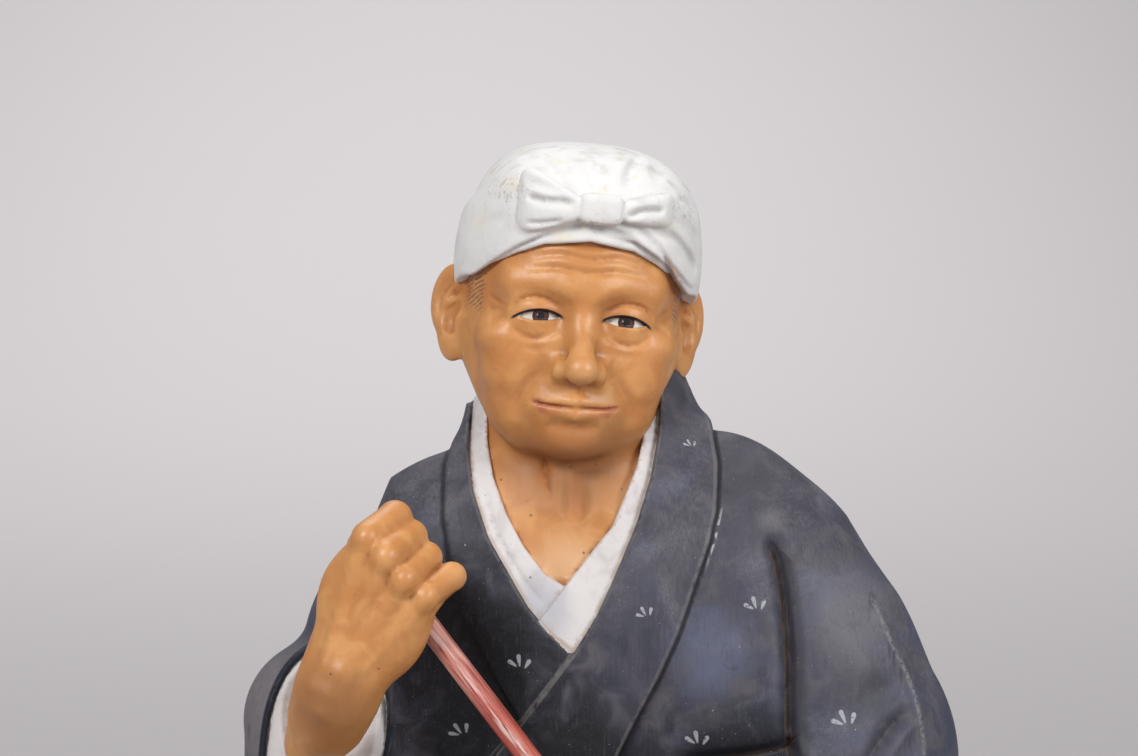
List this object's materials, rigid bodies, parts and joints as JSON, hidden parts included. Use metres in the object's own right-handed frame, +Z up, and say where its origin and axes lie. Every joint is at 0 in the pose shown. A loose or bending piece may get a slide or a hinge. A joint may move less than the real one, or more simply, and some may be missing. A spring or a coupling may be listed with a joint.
{
  "type": "clay doll",
  "caption": "Painted clay doll of a kneeling elderly figure in a robe and head scarf, holding a long slanting stick, on a low flat base.",
  "frame": {"origin": "middle of the base's underside", "axes": "+Z up, the figure faces -Y, its right hand is on the -X side"},
  "size_m": [0.2, 0.178, 0.2636],
  "materials": {
    "painted_clay": "fired clay with dark blue-grey matte paint, satin tan skin, white collars and scarf",
    "red_stick": "thin wooden stick with glossy red-brown paint",
    "dark_base": "low wooden base with dark brown lacquer"
  },
  "bodies": {
    "root": {"figure": "painted_clay", "stick": "red_stick", "base": "dark_base"}
  },
  "joints": []
}
